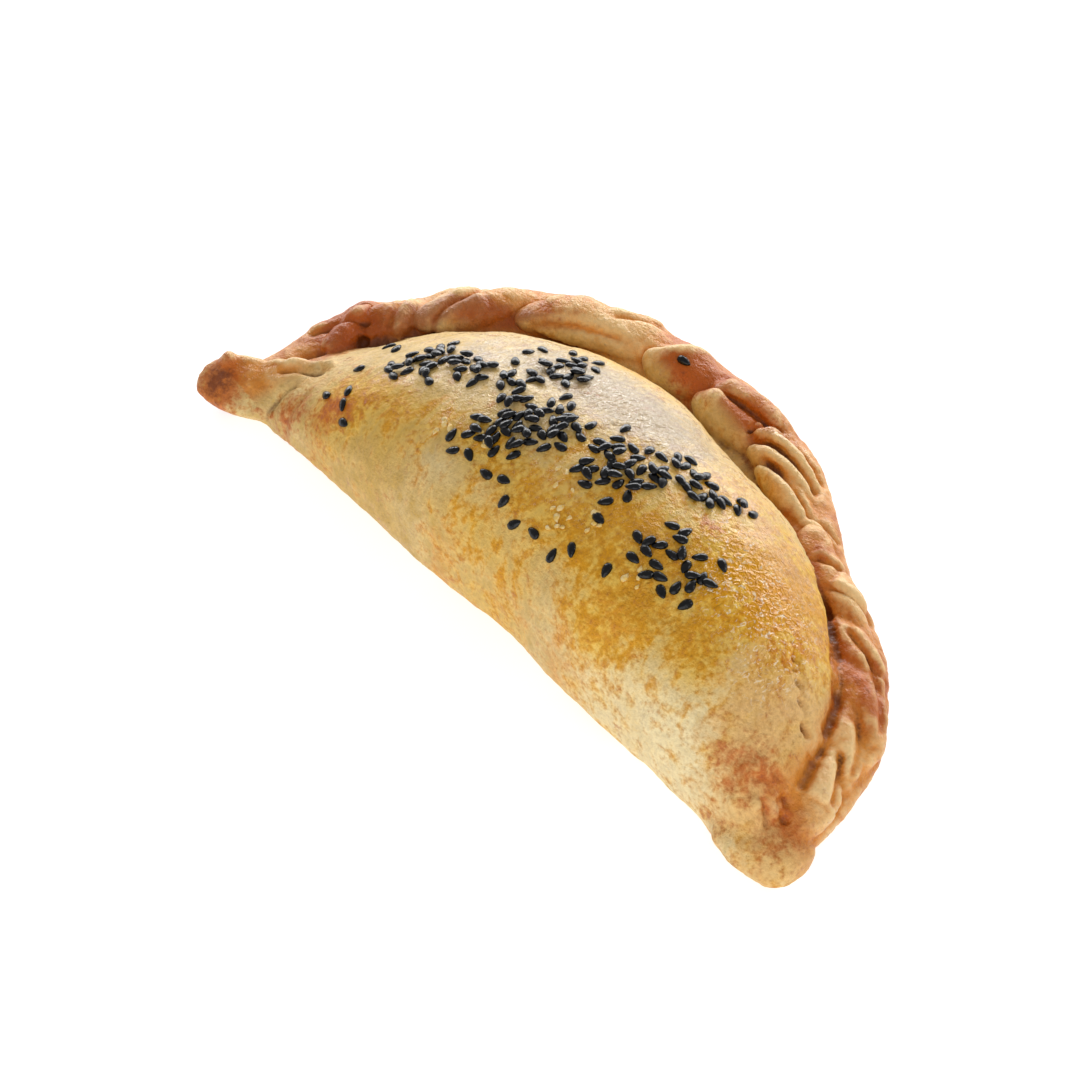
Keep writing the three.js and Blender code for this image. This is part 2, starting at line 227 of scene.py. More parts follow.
# %% Make the bed and the seam
RIM_HALF_LENGTH = 79.5
RIM_DEPTH = 77
RIM_WAVES = ((0.012, 25, 8), (-0.092, 58, 17), (0.046, 120, 18), (-0.04, 172, 7))
BED_WAVES = ((0.08, 140, 17), (-0.4, 173, 15))
BED_FROM = 2
BED_TO = 179
BED_HALF_WIDTH = 7
BED_HALF_HEIGHT = 4.8
BED_MIDDLE_HEIGHT = 4.5
BED_END_POWER = 0.16
SEAM_HALF_WIDTH = 9
SEAM_INSET = 14
SEAM_MIDDLE_HEIGHT = 1.5
SEAM_HALF_HEIGHT = 6.4
SEAM_WAVES = ((0.5, 22, 15), (-0.5, 58, 14), (-0.4, 115, 34))


def rim_point(angle, inset, height):
    swell = waves(RIM_WAVES, angle)
    across = np.cos(np.radians(angle))
    deep = np.sin(np.radians(angle))
    slope = np.hypot(across / RIM_HALF_LENGTH, deep / RIM_DEPTH)
    x = RIM_HALF_LENGTH * swell * across - inset * across / RIM_HALF_LENGTH / slope
    y = RIM_DEPTH * swell * deep - inset * deep / RIM_DEPTH / slope
    return x, y, height


def place_bed(turn, girth, spin):
    angle = BED_FROM + (BED_TO - BED_FROM) * turn / math.pi
    full = girth**BED_END_POWER
    inset = BED_HALF_WIDTH * full * (1 - np.cos(spin))
    height = BED_MIDDLE_HEIGHT + BED_HALF_HEIGHT * full * np.sin(spin)
    return rim_point(angle, inset, height * waves(BED_WAVES, angle))


def place_seam(turn, girth, spin):
    angle = BED_FROM + (BED_TO - BED_FROM) * turn / math.pi
    full = girth**BED_END_POWER
    inset = SEAM_INSET - SEAM_HALF_WIDTH * full * np.cos(spin)
    height = SEAM_MIDDLE_HEIGHT + SEAM_HALF_HEIGHT * full * np.sin(spin)
    return rim_point(angle, inset, height * waves(SEAM_WAVES, angle))


BED_MESH = (32, 300)
SEAM_MESH = (24, 160)
bed = dough_skin("bed", *BED_MESH, place_bed)
seam = dough_skin("seam", *SEAM_MESH, place_seam)
print("bed, mm:", [round(side / MM, 1) for side in bed.dimensions])

# %% Make the tongues
# From and to degrees, from and to inset, half width, and how pointed the head is
TONGUES = (
    (20, 5, 7.6, 3.8, 5.6, 0.4), (28.5, 14, 10.2, 4.2, 5.8, 0.4), (38, 19, 8.8, 3.6, 6.2, 0.3),
    (45, 28, 8.4, 3.4, 4.8, 0), (63, 36, 6.8, 4.8, 4.4, 0), (79, 60, 13.4, 4.0, 2.9, 0),
    (83, 67, 12.6, 4.0, 2.7, 0), (86, 71, 9.4, 3.8, 2.7, 0), (97, 82, 13.0, 10.4, 3.4, 0),
    (97, 81, 8.6, 3.8, 3.4, 0), (109, 91, 10.8, 6, 5.0, 0), (131, 100, 10.6, 6, 5.2, 0),
    (148, 126, 9.6, 5, 4.4, 0), (157, 144, 9.6, 5, 4.2, 0), (164, 153, 9.6, 5, 3.4, 0),
)
TONGUE_HALF_HEIGHT = 3.4
TONGUE_HEAD_GIRTH = 1.15
TONGUE_TAIL_GIRTH = 0.85
TONGUE_HEAD_LEVEL = 9.2
TONGUE_TAIL_LEVEL = 6.8
TONGUE_MESH = (28, 28)


def make_tongue(number, start, end, inset_from, inset_to, half_width, point):
    def place(turn, girth, spin):
        along = (1 - np.cos(turn)) / 2
        angle = start + (end - start) * along
        fat = TONGUE_HEAD_GIRTH + (TONGUE_TAIL_GIRTH - TONGUE_HEAD_GIRTH) * along
        full = fat * girth ** (1 + point * (1 - along))
        middle = inset_from + (inset_to - inset_from) * along
        level = TONGUE_HEAD_LEVEL + (TONGUE_TAIL_LEVEL - TONGUE_HEAD_LEVEL) * along
        height = level + TONGUE_HALF_HEIGHT * full * np.sin(spin)
        inset = middle + half_width * full * np.cos(spin)
        return rim_point(angle, inset, height * waves(BED_WAVES, angle))

    return dough_skin(f"tongue_{number}", *TONGUE_MESH, place)


tongues = [make_tongue(number, *tongue) for number, tongue in enumerate(TONGUES)]
print("tongues:", len(tongues))

# %% [markdown]
# ## The corners
# Where the fold meets the rope, the dough is pinched into a blunt pad at the near end and a flat
# ear, bent forward, at the far end. A web of dough joins each to the pocket. The ear's crest leans
# back, which leaves it a flat face in front.

# %% Make the corners
CORNER_BLUNT = 0.65
CORNER_MESH = (40, 40)
# Name, middle, half size, heading in degrees, and how far the crest leans back
CORNERS = (
    ("near_corner", (71.5, 6.0, 4.2), (9.2, 7.2, 5.2), 0, 0.0),
    ("near_web", (67.4, 18.6, 5.0), (11.6, 5.4, 6.4), -61, 0.0),
    ("far_corner", (-68.2, 2.4, 4.3), (11.8, 5.6, 4.4), 27, 2.4),
    ("far_web", (-61.0, 8.0, 5.0), (10.0, 5.8, 5.6), 26, 2.0),
)


def make_corner(name, middle, half_size, heading, lean):
    cosine = math.cos(math.radians(heading))
    sine = math.sin(math.radians(heading))

    def place(turn, girth, spin):
        full = girth**CORNER_BLUNT
        along = -half_size[0] * np.cos(turn)
        across = -half_size[1] * full * np.cos(spin) + lean * full * np.maximum(np.sin(spin), 0)
        x = middle[0] + along * cosine - across * sine
        y = middle[1] + along * sine + across * cosine
        return x, y, middle[2] + half_size[2] * full * np.sin(spin)

    return dough_skin(name, *CORNER_MESH, place)


corners = [make_corner(*corner) for corner in CORNERS]
print("corners:", [corner.name for corner in corners])

# %% [markdown]
# ## One piece of dough
# The rolls overlap, but real dough has one skin. Booleans would leave the rolls as hard as the
# solid's. A voxel remesh instead lays one even net of small faces over all of them, which keeps
# the creases where rolls meet and gives enough points for lumps and cracks. A light smoothing
# takes out the steps that the voxels leave.

# %% Fuse the rolls
SKIN_MESH = 0.52 * MM
SKIN_SMOOTHING = 3
SMOOTH_SHARE = 0.5


def finish_modifier(piece, kind, **settings):
    choose(piece)
    modifier = piece.modifiers.new(kind.lower(), kind)
    for name, value in settings.items():
        setattr(modifier, name, value)
    bpy.ops.object.modifier_apply(modifier=modifier.name)


def smooth(piece, rounds, **settings):
    finish_modifier(piece, "SMOOTH", factor=SMOOTH_SHARE, iterations=rounds, **settings)


def keep_outer_shell(piece):
    choose(piece)
    bpy.ops.object.mode_set(mode="EDIT")
    bpy.ops.mesh.select_all(action="SELECT")
    bpy.ops.mesh.separate(type="LOOSE")
    bpy.ops.object.mode_set(mode="OBJECT")
    shells = sorted(bpy.context.selected_objects, key=lambda shell: len(shell.data.vertices))
    for shell in shells[:-1]:
        bpy.data.objects.remove(shell)
    return shells[-1]


choose(pocket, base, bed, seam, *tongues, *corners)
bpy.ops.object.join()
fused = bpy.context.object
finish_modifier(fused, "REMESH", mode="VOXEL", voxel_size=SKIN_MESH)
crust = keep_outer_shell(fused)
crust.name = "crust"
smooth(crust, SKIN_SMOOTHING)
print("crust points:", len(crust.data.vertices))

# %% Soften the corners
# Place in plan and reach of the places where the pocket runs out into a corner
SOFT_PLACES = ((64, 4, 6), (69, 15, 5), (-60, 6, 6), (-57, 13, 7))
SOFT_ROUNDS = 60
SOFT_LEAST = 0.05


def soften(piece, places, rounds):
    spots = fold_places(piece)
    weights = np.zeros(len(spots))
    for x, y, reach in places:
        weights = np.maximum(weights, hump(np.hypot(spots[:, 0] - x, spots[:, 1] - y), 0, reach))
    group = piece.vertex_groups.new(name="soft")
    for number in np.flatnonzero(weights > SOFT_LEAST):
        group.add([int(number)], float(weights[number]), "REPLACE")
    smooth(piece, rounds, vertex_group="soft")
    piece.vertex_groups.clear()


soften(crust, SOFT_PLACES, SOFT_ROUNDS)
print("softened places:", len(SOFT_PLACES))

# %% [markdown]
# ## Lumps
# Dough over a filling is never even: broad swellings, finger-sized dents, and a fine skin of
# blisters and wrinkles. Displace modifiers with cloud textures of four sizes raise them, and each
# is applied.

# %% Raise the lumps
# Name, size of the clouds and height
LUMPS = (
    ("swellings", 17.0, 1.1),
    ("dents", 6.0, 0.5),
    ("blisters", 2.6, 0.2),
    ("wrinkles", 1.3, 0.1),
)
LUMP_DETAIL = 2
LUMP_LEVEL = 0.5
for name, size, height in LUMPS:
    clouds = bpy.data.textures.new(name, "CLOUDS")
    clouds.noise_scale = size * MM
    clouds.noise_depth = LUMP_DETAIL
    finish_modifier(crust, "DISPLACE", texture=clouds, strength=height * MM, mid_level=LUMP_LEVEL)
print("lumps raised:", [name for name, size, height in LUMPS])

# %% [markdown]
# ## Folds in the rope
# Each pinch of the edge leaves a sharp crease, with the dough of one side lying over the other.
# Sculpting strokes would do it by hand. Here each crease is a slightly bowed line on the rim, from
# its inner end to its outer end: points near it sink into a groove, and on one side the dough is
# raised, so that it looks laid over its neighbour.

# %% Press the folds
# Millimetres of rim to a degree
RIM_DEGREE = 1.36
FOLD_WIDTH = 0.9
FOLD_LAP = 4.0
FOLD_EDGE = 0.25
FOLD_FADE = 0.16
ROPE_TOP = 17
ROPE_FOOT = 3
# From and to degrees, from and to inset, bow, groove depth, lift of the left (+) or right (-) side
FOLDS = (
    (20, 11, 8.0, 6.0, 0.0, 0.5, 0.3),
    (21, 12, 5.8, 0.6, 0.3, 1.2, -0.7),
    (31, 20, 10.4, 8.6, 0.3, 0.7, 0.2),
    (29, 17, 7.0, 1.6, 0.8, 0.6, -0.5),
    (39, 25, 4.8, 0.6, 0.4, 0.8, -0.5),
    (42, 35, 7.2, 0.6, -1.0, 0.9, 0.6),
    (48, 30, 10.1, 10.6, 0.0, 1.1, 0.2),
    (62, 43, 11.6, 10.0, 0.0, 2.0, 0.2),
    (70, 55, 15.0, 10.0, 0.0, 1.6, 0.2),
    (80, 64, 13.6, 6.0, 0.3, 1.2, -0.3),
    (83, 69, 11.2, 3.6, 0.3, 1.2, -0.3),
    (83, 71, 7.4, 1.4, 0.5, 1.2, -0.5),
    (66, 60, 8.6, 1.0, 0.6, 1.0, -0.7),
    (95, 84, 10.6, 7.0, 0.4, 1.2, -0.4),
    (86, 83, 12.0, 5.0, 0.3, 1.2, 0.5),
    (97, 81, 5.6, 0.8, 0.9, 1.2, -0.7),
    (110, 100, 11.4, 0.5, -0.8, 1.8, -1.3),
    (131, 112, 13.4, 10.6, 0.0, 0.8, 0.5),
    (128, 121, 7.0, 0.0, 0.6, 1.0, -0.8),
    (117, 109, 7.5, 2.5, 0.8, 0.7, 0.6),
    (146, 137, 13.0, 5.0, 0.6, 0.7, -0.6),
    (141, 133, 8.0, 0.5, 0.6, 0.7, 0.6),
    (153, 148, 12.0, 3.0, 0.5, 0.7, -0.6),
    (165, 155, 2.0, 8.0, 0.4, 0.8, 0.6),
    (171, 163, 6.0, 10.0, 0.3, 0.6, 0.5),
    (50, 45, 8.0, 0.5, 0.5, 0.8, 0.6),
    (56, 53, 8.5, 3.0, 0.3, 0.7, 0.5),
)


def normals_of(piece):
    flat = np.empty(len(piece.data.vertices) * 3)
    piece.data.vertices.foreach_get("normal", flat)
    return flat.reshape(-1, 3)


def push(piece, amount):
    set_points(piece, points_of(piece) + normals_of(piece) * np.asarray(amount)[:, None] * MM)


def rope_places(spots):
    angle = np.degrees(np.arctan2(spots[:, 1] / RIM_DEPTH, spots[:, 0] / RIM_HALF_LENGTH))
    reach = np.hypot(spots[:, 0] / RIM_HALF_LENGTH, spots[:, 1] / RIM_DEPTH)
    inset = (1 - reach / waves(RIM_WAVES, angle)) * (RIM_HALF_LENGTH + RIM_DEPTH) / 2
    return angle, inset


def soft_step(value, low, high):
    share = np.clip((value - low) / (high - low), 0, 1)
    return share * share * (3 - 2 * share)


def off_tray(spots):
    return soft_step(spots[:, 2], 0, ROPE_FOOT)


def rope_reach(spots):
    return off_tray(spots) * (spots[:, 2] < ROPE_TOP)


def along_line(first, second, start, end, bow):
    length = math.dist(start, end)
    ahead = ((end[0] - start[0]) / length, (end[1] - start[1]) / length)
    share = ((first - start[0]) * ahead[0] + (second - start[1]) * ahead[1]) / length
    side = (second - start[1]) * ahead[0] - (first - start[0]) * ahead[1]
    inside = soft_step(share, 0, FOLD_FADE) * soft_step(1 - share, 0, FOLD_FADE)
    return side - bow * 4 * share * (1 - share), inside


def fold_relief(angle, inset, fold):
    angle_from, angle_to, inset_from, inset_to, bow, depth, lift = fold
    start = (angle_from * RIM_DEGREE, inset_from)
    end = (angle_to * RIM_DEGREE, inset_to)
    side, inside = along_line(angle * RIM_DEGREE, inset, start, end, bow)
    over = side * math.copysign(1, lift)
    lap = np.exp(-np.maximum(over, 0) / FOLD_LAP) * (1 + np.tanh(over / (2 * FOLD_EDGE))) / 2
    return inside * (abs(lift) * lap - depth * hump(side, 0, FOLD_WIDTH))


spots = fold_places(crust)
angle, inset = rope_places(spots)
push(crust, rope_reach(spots) * sum(fold_relief(angle, inset, fold) for fold in FOLDS))
print("folds pressed:", len(FOLDS))

# %% [markdown]
# ## Dents, pores and cracks
# Steam made pores along a crease near the near corner, fingers left knobs and a hollow on the rope,
# and the fold has fine cracks. They are pressed in the same way, on the rim or in plan. At the end
# the rope is made crisper: what smoothing would take off is added instead.

# %% Press dents and cracks
# Place on the rim (degrees, inset), radius and height
ROPE_KNOBS = (
    (155, 2.5, 4.0, 1.8), (154.6, 9.2, 3.2, -1.2), (94, 12.0, 2.6, 1.0),
    (122, 6.0, 6.0, 0.9), (62, 5.0, 5.0, 0.7), (142, 2.0, 4.0, 1.0),
    (131, 3.0, 4.0, 0.8), (112, 2.0, 4.0, 0.7), (103, 5.0, 4.0, 0.8), (48, 4.0, 3.5, 0.7),
)
# Pores (-) and small bumps (+): place in plan, radius and height
PORES = (
    (57.0, 25.8, 0.7, -0.7), (58.4, 24.4, 0.5, -0.6), (60.2, 23.8, 0.8, -0.8), (62.5, 22.2, 0.6, -0.7),
    (66.0, 20.4, 0.8, -1.4), (54.5, 27.4, 0.5, -0.5), (69.4, 5.4, 1.2, 0.7), (71.6, 8.4, 1.3, 0.8),
    (66.2, 8.0, 1.6, 0.6), (-75.6, 1.8, 1.6, 1.2), (-62.0, 2.0, 4.0, -0.5), (66.5, 3.0, 1.0, 0.5),
    (63.6, 7.0, 0.9, -0.4), (65.0, 10.5, 0.9, -0.4), (69.0, 11.0, 0.9, -0.7), (71.5, 10.5, 0.8, -0.6),
)
# Cracks (-) and ridges (+): from and to in plan, bow, width and height
PLAN_LINES = (
    ((54.5, 27.6), (68.0, 18.6), 0.6, 0.8, -0.35), ((68.5, 20.0), (71.5, 13.5), 0.4, 1.2, -0.3),
    ((38.5, 1.3), (46.0, 1.0), 0.4, 0.5, -0.35),
    ((69.0, 6.4), (73.0, 5.0), 0.6, 0.6, -0.5), ((70.4, 9.4), (74.6, 8.8), -0.5, 0.6, -0.5),
    ((66.4, 6.6), (69.6, 9.4), 0.4, 0.6, -0.4), ((-78.0, 1.0), (-65.0, 10.0), 0.8, 1.2, 0.5),
    ((-62.0, -2.0), (-60.0, 8.0), 0.6, 0.7, -0.5), ((-57.0, -1.0), (-55.5, 8.0), -0.6, 0.7, -0.5),
    ((-67.0, 9.0), (-57.0, 15.5), 0.8, 1.2, 0.9), ((-66.5, 6.5), (-57.5, 12.5), 0.6, 0.9, -0.7),
)
# Rounds of smoothing, and the share of what they take off that is added
SHARPEN = ((100, 0.25), (12, 0.6))
SHARPEN_INSETS = (14, 20)
SHARPEN_MOST = 2


def bump_at(first, second, row):
    middle_first, middle_second, radius, height = row
    far = np.hypot(first - middle_first, second - middle_second)
    return height * hump(far, 0, radius)


def line_relief(x, y, line):
    start, end, bow, width, height = line
    side, inside = along_line(x, y, start, end, bow)
    return height * inside * hump(side, 0, width)


def relief_of(piece, rounds):
    choose(piece)
    bpy.ops.object.duplicate()
    smoothed = bpy.context.object
    smooth(smoothed, rounds)
    lift = ((points_of(piece) - points_of(smoothed)) * normals_of(piece)).sum(axis=1) / MM
    bpy.data.objects.remove(smoothed)
    return lift


spots = fold_places(crust)
angle, inset = rope_places(spots)
knobs = sum(
    bump_at(angle * RIM_DEGREE, inset, (row[0] * RIM_DEGREE, *row[1:])) for row in ROPE_KNOBS
)
push(crust, knobs * rope_reach(spots))
spots = fold_places(crust)
pores = sum(bump_at(spots[:, 0], spots[:, 1], row) for row in PORES)
lines = sum(line_relief(spots[:, 0], spots[:, 1], line) for line in PLAN_LINES)
push(crust, (pores + lines) * off_tray(spots))
for rounds, share in SHARPEN:
    spots = fold_places(crust)
    angle, inset = rope_places(spots)
    near_rope = (1 - soft_step(inset, *SHARPEN_INSETS)) * off_tray(spots)
    crisp = np.clip(relief_of(crust, rounds), -SHARPEN_MOST, SHARPEN_MOST)
    push(crust, share * near_rope * crisp)
print("knobs, pores and lines:", len(ROPE_KNOBS), len(PORES), len(PLAN_LINES))

# %% [markdown]
# ## Where the crust is golden, toasted or hollow
# Egg wash was brushed on in strokes, and the oven browned what stood proud. The finish needs to
# know both, so each point of the crust gets a few numbers: how much wash lies there, how toasted
# it is, where a sheen and glints are painted, and whether it stands on a ridge or in a groove, for
# painted highlight and painted shade. Painting weights by hand would do it too. Here soft patches,
# placed in plan, are added up. A groove lies below a smoothed copy.

# %% Place the patches
# Middle in plan, half length, half depth and amount
WASH_PATCHES = (
    (33, 9, 11, 6, 1.2), (17, 12, 11, 6, 1.1), (26, 20, 12, 6, 0.9), (-43, 8, 9, 6, 1.2),
    (-30, 11, 13, 6, 0.8), (41, 24, 10, 9, 1.0), (49, 32, 9, 9, 1.5), (56, 32, 6, 9, 0.7),
    (-2, 12, 11, 5, 0.8), (-14, 15, 8, 4, 0.6), (22, 40, 12, 7, 0.6), (47, 14, 7, 6, 0.5),
    (42, 32, 7, 7, 1.0), (34, 42, 9, 6, 0.9), (44, 39, 6, 6, 0.9), (49, 9, 6, 5, 0.4),
    (-6, 3, 8, 3, 0.7), (30, 3, 6, 2, 0.7), (-32, 26, 10, 6, 0.6), (-20, 53, 16, 4, 0.7),
    (12, 56, 14, 4, 0.7), (8, 22, 12, 6, 0.7), (-14, 38, 20, 9, 0.4), (14, 34, 18, 9, 0.5),
    (8, 3, 8, 2.5, 0.6),
)
PALE_PATCHES = (
    (50, 2, 24, 7, 0.9), (60, 11, 9, 9, 0.4), (34, 1, 6, 3, 0.4), (-37, -1, 6, 5, 0.3),
    (-16, 6, 9, 3, 0.5), (-60, 13, 8, 6, 0.4), (-14, 37, 16, 8, 0.3), (-34, 2, 16, 12, -0.6),
)
# The toast patch at (-11, 65), in a crevice of the rope, is painted shade
TOAST_PATCHES = (
    (-46, 5, 6, 4, 0.75), (-37, 8, 5, 3, 0.35), (-73.5, -2.5, 5.5, 5.5, 1.5), (-11, 65, 6, 3, 0.9),
    (75, 3, 4, 4, 0.45), (66, 11, 5, 6, 0.3), (76, 9, 4, 4, 0.7), (31, 30, 3.0, 1.4, 0.9),
    (64, 5, 5, 4, 0.65), (69, 10, 4, 3, 0.5), (61.4, 38, 2.2, 1.5, 0.9), (64.4, 37.2, 2.4, 1.6, 0.8),
    (67.8, 35.6, 2.2, 1.6, 0.9), (4, 69, 6, 3, 1.0), (30, 65, 4, 3, 0.7), (-57, 2, 5, 5, 0.7),
    (57, 41, 3, 6, 0.5), (-62, 36, 8, 10, 0.3), (55, 25, 3, 7, 0.4), (-68, 26, 6, 6, 0.6),
)
DRIP_PATCHES = (
    (6, 0.6, 3.4, 1.6, 0.6), (14, 0.7, 3.8, 1.6, 0.6), (23.6, 0.9, 3.8, 1.8, 0.6),
    (30.6, 1.1, 3.0, 1.6, 0.4), (-8, 0.4, 3.8, 1.8, 0.6), (33, 6, 5, 2.5, 0.5), (-46, 5, 5, 5, 1.0),
    (46, 30, 6, 6, 0.5), (53, 24, 5, 7, 0.5),
)
SHEEN_PATCHES = ((-14, 38, 18, 9, 0.9), (6, 40, 14, 9, 0.9), (-32, 28, 9, 6, 0.6))
# Where the wash dried to a glassy film, which also gets pale painted glints
FILM_AND_GLINT_PATCHES = (
    (50, 27, 8, 9, 0.9), (42, 22, 8, 6, 0.7), (40, 31, 8, 7, 0.6), (28, 33, 8, 6, 0.5),
    (57, 20, 5, 9, 0.7), (-18, 37, 12, 7, 0.9), (4, 38, 14, 7, 0.8), (-32, 28, 8, 5, 0.5),
    (14, 30, 8, 5, 0.4),
)
GLOSS_PATCHES = (
    (-18, 36, 26, 14, 1.0), (10, 38, 24, 14, 1.0), (34, 33, 14, 12, 0.8), (0, 18, 44, 9, 0.7),
    (56, 30, 7, 10, 0.5), (65, 36.5, 4.5, 4, 0.4), (10, 68, 5, 4, 0.9), (38, 14, 10, 8, 0.6),
)
BARE_PATCHES = (
    (62, 14, 9, 13, 1.0), (70, 8, 8, 9, 0.9), (78, 6, 6, 9, 0.9), (-62, 10, 12, 9, 0.7),
    (58, 22, 8, 8, 0.6),
)
PLAN_PATCHES = {
    "wash": WASH_PATCHES, "toast": TOAST_PATCHES, "drip": DRIP_PATCHES, "sheen": SHEEN_PATCHES,
    "film_and_glints": FILM_AND_GLINT_PATCHES, "gloss": GLOSS_PATCHES, "bare": BARE_PATCHES, "pale": PALE_PATCHES,
}
# Place on the rim (degrees, inset), reach along and across, and paler (+) or darker (-): partly
# the rope's own browning, partly painted highlight and painted shade
ROPE_TONE_AND_LIGHT = (
    (11, 3, 5, 5, 0.8), (20, 6, 5, 5, 0.9), (72, 7, 7, 6, 0.9), (88, 10, 5, 6, -0.7),
    (99, 11, 6, 6, -1.1), (114, 10, 7, 6, 1.5), (147, 8, 6, 6, 1.5), (32, 3, 5, 4, -0.3),
    (50, 4, 6, 5, 0.5), (157, 5, 6, 5, -1.2), (138, 4, 9, 4, 0.4), (173, 9, 7, 7, 0.4),
)


def add_attribute(piece, name, values):
    attribute = piece.data.attributes.new(name, "FLOAT", "POINT")
    attribute.data.foreach_set("value", np.asarray(values, dtype=np.float32))


def patches(table, x, y):
    total = np.zeros(len(x))
    for middle_x, middle_y, long, deep, amount in table:
        total += amount * hump(x, middle_x, long) * hump(y, middle_y, deep)
    return total


spots = fold_places(crust)
for name, table in PLAN_PATCHES.items():
    add_attribute(crust, name, patches(table, spots[:, 0], spots[:, 1]))
print("patches placed:", {name: len(table) for name, table in PLAN_PATCHES.items()})

# %% Find the rope and its shaded inner side
# Each pair is where a mask starts and ends: insets and heights in mm, angles in degrees
ROPE_INSETS = (11, 15)
ROPE_HEIGHTS = (13, 17)
ROPE_ANGLES = (2, 9)
SHADE_ANGLES = (62, 92)
SHADE_END_ANGLES = (160, 168)
SHADE_INSET = 10.5
SHADE_EDGE = 5
SHADE_WIDENING = 7
SHADE_WIDENING_ANGLES = (120, 140)

angle, inset = rope_places(spots)
on_rope = (1 - soft_step(inset, *ROPE_INSETS)) * (1 - soft_step(spots[:, 2], *ROPE_HEIGHTS))
on_rope *= soft_step(angle, *ROPE_ANGLES)
shade_from = SHADE_INSET - SHADE_WIDENING * soft_step(angle, *SHADE_WIDENING_ANGLES)
shaded = soft_step(inset, shade_from, shade_from + SHADE_EDGE) * soft_step(angle, *SHADE_ANGLES)
shaded *= 1 - soft_step(angle, *SHADE_END_ANGLES)
add_attribute(crust, "rope", on_rope)
add_attribute(crust, "tone", patches(ROPE_TONE_AND_LIGHT, angle, inset))
# The inner side of the rope gets painted shade
add_attribute(crust, "inner", on_rope * shaded)
print("rope share of the crust:", round(float(on_rope.mean()), 2))

# %% Measure ridges and grooves
# Rounds of smoothing: more of them find broader forms
RELIEF_ROUNDS = {"ridge": 10, "hollow": 100, "valley": 400}
PRINTED_PERCENTS = (1, 25, 50, 75, 99)

for name, rounds in RELIEF_ROUNDS.items():
    relief = relief_of(crust, rounds)
    add_attribute(crust, name, relief)
    print(name, "mm:", np.percentile(relief, PRINTED_PERCENTS).round(2))

# %% [markdown]
# ## The flat base
# The pastry was baked on a tray, so everything below the tray is cut off. Bisect does it in one
# step and fills the cut.

# %% Cut the base flat
TRAY_GAP = 1e-6
choose(crust)
bpy.ops.object.mode_set(mode="EDIT")
bpy.ops.mesh.select_all(action="SELECT")
bpy.ops.mesh.bisect(
    plane_co=(0, 0, 0), plane_no=(0, 0, 1), use_fill=True, clear_inner=True, threshold=TRAY_GAP
)
bpy.ops.object.mode_set(mode="OBJECT")
bpy.ops.object.shade_smooth()
print("crust faces:", len(crust.data.polygons))

# %% [markdown]
# ## Writing a finish
# A finish is a web of nodes. To read like sums, one class wraps a socket, so that masks can be
# added and multiplied in Python, and one method makes every other node.

# %% Sockets as values
class Value:
    def __init__(self, finish, socket):
        self.finish = finish
        self.socket = socket

    def math(self, operation, first, second):
        return self.finish.node("ShaderNodeMath", {"operation": operation}, {0: first, 1: second})

    def __add__(self, other):
        return self.math("ADD", self, other)

    def __radd__(self, other):
        return self.math("ADD", other, self)

    def __sub__(self, other):
        return self.math("SUBTRACT", self, other)

    def __rsub__(self, other):
        return self.math("SUBTRACT", other, self)

    def __mul__(self, other):
        return self.math("MULTIPLY", self, other)

    def __rmul__(self, other):
        return self.math("MULTIPLY", other, self)

    def step(self, low, high):
        sockets = {"Value": self, "From Min": low, "From Max": high}
        return self.finish.node("ShaderNodeMapRange", {"interpolation_type": "SMOOTHSTEP"}, sockets)


NOISE_MIDDLE = 0.5
NOISE_GAIN = 4.0
# The mix node has sockets for numbers and vectors too, so those for colours go by number
MIX_SHARE = 0
MIX_FIRST = 6
MIX_SECOND = 7
MIX_RESULT = 2


class Finish:
    def __init__(self, name):
        self.material = bpy.data.materials.new(name)
        self.material.use_nodes = True
        self.tree = self.material.node_tree
        self.tree.nodes.clear()

    def node(self, kind, settings, sockets, output=0):
        made = self.tree.nodes.new(kind)
        for name, value in settings.items():
            setattr(made, name, value)
        for name, value in sockets.items():
            if isinstance(value, Value):
                self.tree.links.new(value.socket, made.inputs[name])
            else:
                made.inputs[name].default_value = value
        return Value(self, made.outputs[output])

    def place(self):
        return self.node("ShaderNodeTexCoord", {}, {}, "Object")

    def attribute(self, name):
        return self.node("ShaderNodeAttribute", {"attribute_name": name}, {}, "Fac")

    def noise(self, size, detail=3.0, rough=0.5, swirl=0.0, stretch=(1.0, 1.0, 1.0)):
        scale = tuple(share / (size * MM) for share in stretch)
        place = self.node("ShaderNodeMapping", {}, {"Vector": self.place(), "Scale": scale})
        sockets = {"Vector": place, "Scale": 1.0, "Detail": detail}
        sockets |= {"Roughness": rough, "Distortion": swirl}
        return (self.node("ShaderNodeTexNoise", {}, sockets, "Fac") - NOISE_MIDDLE) * NOISE_GAIN

    def mix(self, first, second, share):
        sockets = {MIX_SHARE: share, MIX_FIRST: first, MIX_SECOND: second}
        return self.node("ShaderNodeMix", {"data_type": "RGBA"}, sockets, MIX_RESULT)

    def scaled(self, colour, share):
        return self.node("ShaderNodeVectorMath", {"operation": "SCALE"}, {0: colour, "Scale": share})

    def surface(self, **sockets):
        named = {name.replace("_", " "): value for name, value in sockets.items()}
        shader = self.node("ShaderNodeBsdfPrincipled", {}, named)
        output = self.tree.nodes.new("ShaderNodeOutputMaterial")
        self.tree.links.new(shader.socket, output.inputs["Surface"])


# Colours are given as in a picture, 0 to 255, and the standard curve turns them into light
def photo_colour(red, green, blue):
    def linear(part):
        share = part / 255
        return share / 12.92 if share <= 0.04045 else ((share + 0.055) / 1.055) ** 2.4

    return (linear(red), linear(green), linear(blue), 1.0)


print("finishes can be written now")
